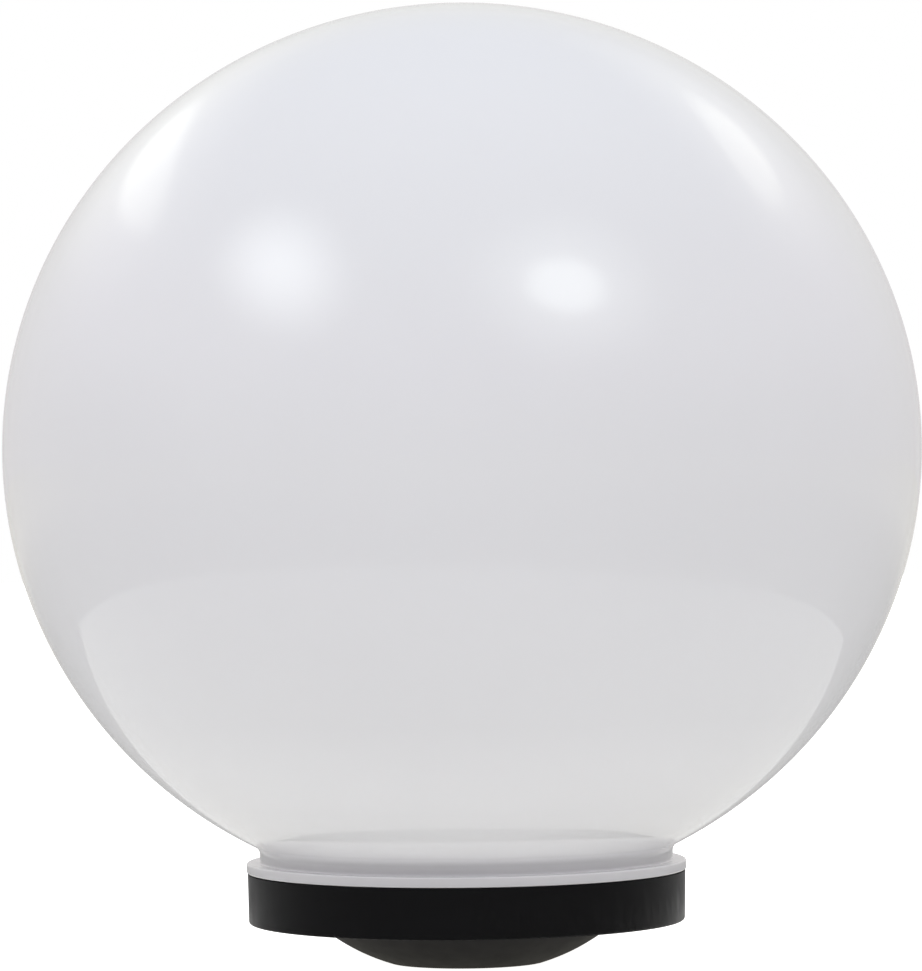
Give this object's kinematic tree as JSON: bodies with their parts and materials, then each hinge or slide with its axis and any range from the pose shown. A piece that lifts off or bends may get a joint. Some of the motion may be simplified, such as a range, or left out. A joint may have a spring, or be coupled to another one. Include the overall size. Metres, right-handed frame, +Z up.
{
  "type": "garden globe light",
  "caption": "Opal globe garden light that twist-locks into a black round base with a pole socket, cable gland, lampholder and screw-in bulb.",
  "frame": {"origin": "centre of the flat underside of the dish, at the mouth of the pole socket", "axes": "+Z up along the axis of the globe and the pole; the terminal block is on the +X side, the contacts of the lampholder are at +Y and -Y"},
  "size_m": [0.4, 0.3999, 0.4176],
  "materials": {
    "opal": "smooth opal acrylic with a soft gloss",
    "diffuser_opal": "satin opal",
    "black_plastic": "fine satin, moulded",
    "black_nylon": "satin",
    "black_rubber": "matte",
    "zinc_steel": "zinc plated",
    "white_nylon": "satin",
    "porcelain": "glazed",
    "nickel_brass": "nickel plated",
    "brass": "plain",
    "brown_insulation": "satin",
    "blue_insulation": "satin",
    "tinned_copper": "tinned",
    "black_insulator": "gloss",
    "board_white": "solder mask",
    "led_yellow": "gloss",
    "board_green": "solder mask"
  },
  "bodies": {
    "base": {"base_tray": "black_plastic", "pole_socket": "black_plastic", "base_screws": "zinc_steel", "set_screws": "zinc_steel", "set_screw_nuts": "zinc_steel", "lamp_bridge": "white_nylon", "bridge_screws": "zinc_steel", "gland_body": "black_nylon", "gland_seal": "black_rubber", "gland_nut": "black_nylon", "gland_locknut": "black_nylon", "holder_body": "porcelain", "holder_shell": "nickel_brass", "shell_rivets": "brass", "centre_contact": "brass", "side_contact": "brass", "contact_screws": "zinc_steel", "holder_screws": "zinc_steel", "terminal_block": "white_nylon", "terminal_inserts": "brass", "terminal_screws": "zinc_steel", "block_screw": "zinc_steel", "live_lead": "brown_insulation", "neutral_lead": "blue_insulation", "lead_ferrules": "tinned_copper"},
    "globe_seal": {"neck_gasket": "black_rubber"},
    "globe": {"globe": "opal"},
    "bulb_tip": {"bulb_eyelet": "brass"},
    "bulb": {"bulb_insulator": "black_insulator", "bulb_cap": "nickel_brass", "bulb_housing": "white_nylon", "bulb_diffuser": "diffuser_opal", "led_board": "board_white", "led_chips": "led_yellow", "driver_board": "board_green"}
  },
  "joints": [
    {"name": "globe_lift", "type": "slide", "parent": "base", "child": "globe_seal", "axis": [0, 0, 1], "range_m": [0, 0.25]},
    {"name": "globe_twist", "type": "hinge", "parent": "globe_seal", "child": "globe", "pos_m": [0, 0, 0.0398], "axis": [0, 0, -1], "range_deg": [0, 30]},
    {"name": "bulb_rise", "type": "slide", "parent": "base", "child": "bulb_tip", "axis": [0, 0, 1], "range_m": [0, 0.0265]},
    {"name": "bulb_turn", "type": "hinge", "parent": "bulb_tip", "child": "bulb", "pos_m": [0, 0, 0.1225], "axis": [0, 0, 1], "range_deg": [0, 2580]}
  ],
  "couplings": [
    {"joint": "bulb_rise", "follows": "bulb_turn", "m_per_rad": 0.00057757}
  ]
}
